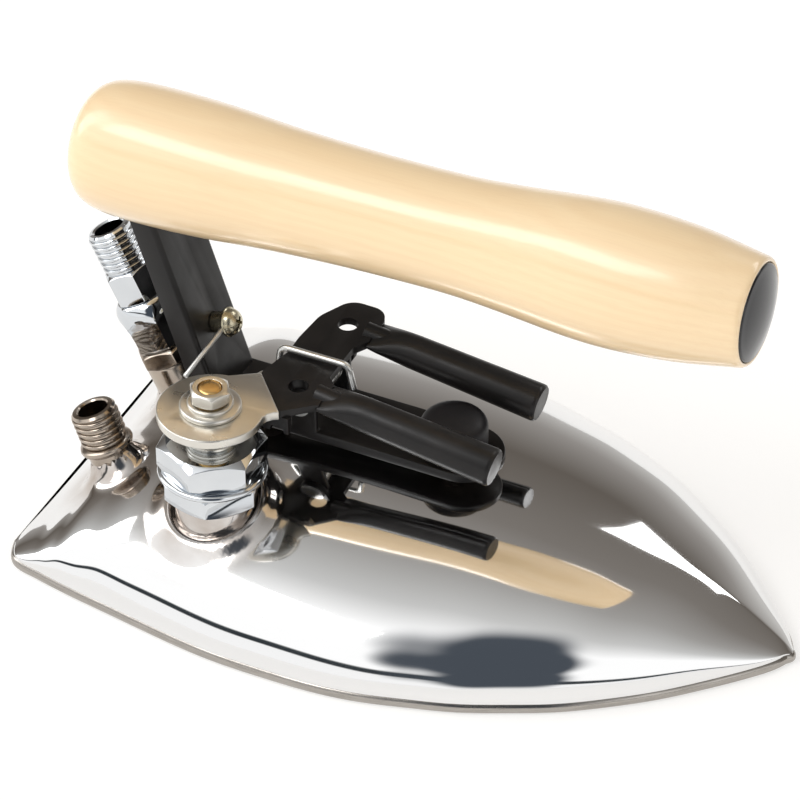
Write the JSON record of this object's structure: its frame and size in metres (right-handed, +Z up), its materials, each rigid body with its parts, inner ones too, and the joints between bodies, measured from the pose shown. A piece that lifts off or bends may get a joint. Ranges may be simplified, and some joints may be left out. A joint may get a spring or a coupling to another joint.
{
  "type": "clothes iron",
  "caption": "Boiler-fed all-steam clothes iron: polished boat-shaped steam shell, wooden handle, squeeze lever that opens a side steam valve.",
  "frame": {"origin": "on the middle line of the sole's lower face, 108 mm behind the nose tip", "axes": "+X to the pointed nose, -Y to the side with the steam valve, +Z up out of the sole"},
  "size_m": [0.2121, 0.134, 0.1283],
  "materials": {
    "polished_steel": "mirror polished stainless steel",
    "sole_steel": "ground stainless steel",
    "inner_steel": "plain steel, as welded",
    "nipple_steel": "turned stainless steel with heat tint",
    "chrome_plate": "bright chromium plate",
    "zinc_plate": "zinc plated, satin",
    "brass": "turned brass",
    "spring_steel": "drawn spring wire",
    "black_paint": "semi-gloss black stove enamel",
    "black_plastic": "gloss phenolic moulding",
    "ptfe": "plain PTFE",
    "maple": "clear lacquered"
  },
  "bodies": {
    "iron": {"shell": "polished_steel", "sole_plate": "sole_steel", "chamber_rim": "inner_steel", "partition_plate": "inner_steel", "feed_tube": "inner_steel", "valve_boss": "polished_steel", "valve_body": "chrome_plate", "valve_cage": "inner_steel", "valve_seat": "brass", "sealing_ring": "chrome_plate", "valve_bonnet": "chrome_plate", "gland_packing": "ptfe", "gland_nut": "inner_steel", "valve_spring": "spring_steel", "pivot_pin": "zinc_plate", "pin_clips": "spring_steel", "foot_bar": "black_paint", "foot_studs": "zinc_plate", "foot_spacers": "inner_steel", "foot_knob": "black_plastic", "rear_stud_nut": "zinc_plate", "bracket_screw": "zinc_plate", "screw_spacer": "zinc_plate", "screw_nut": "zinc_plate", "hold_wire": "spring_steel", "handle": "maple", "bracket": "black_paint", "handle_rod": "zinc_plate", "rod_washer": "zinc_plate", "rod_nut": "zinc_plate", "handle_cap": "black_plastic", "return_nipple": "nipple_steel", "siphon_tube": "inner_steel", "inlet_socket": "nipple_steel", "inlet_lock_nut": "nipple_steel", "inlet_union": "chrome_plate", "inlet_adaptor": "chrome_plate", "inlet_thread": "chrome_plate"},
    "lever": {"lever_plate": "black_paint", "near_grip": "black_paint", "far_grip": "black_paint", "valve_arm": "zinc_plate", "wide_washer": "zinc_plate", "narrow_washer": "zinc_plate", "spring_coil": "spring_steel", "spring_leg": "spring_steel"},
    "stem": {"valve_stem": "brass", "valve_disc": "ptfe", "stem_nut": "zinc_plate"}
  },
  "joints": [
    {"name": "lever_squeeze", "type": "hinge", "parent": "iron", "child": "lever", "pos_m": [-0.031, 0, 0.0496], "axis": [0, -1, 0], "range_deg": [0, 5], "stiffness_Nm_per_rad": 0.3, "springref_deg": -20.05},
    {"name": "stem_slide", "type": "slide", "parent": "iron", "child": "stem", "axis": [0, 0, -1], "range_m": [0, 0.00126], "stiffness_N_per_m": 400, "springref_m": -0.003, "deforming": ["valve_spring"]}
  ],
  "couplings": [
    {"joint": "stem_slide", "follows": "lever_squeeze", "m_per_rad": 0.0144}
  ]
}
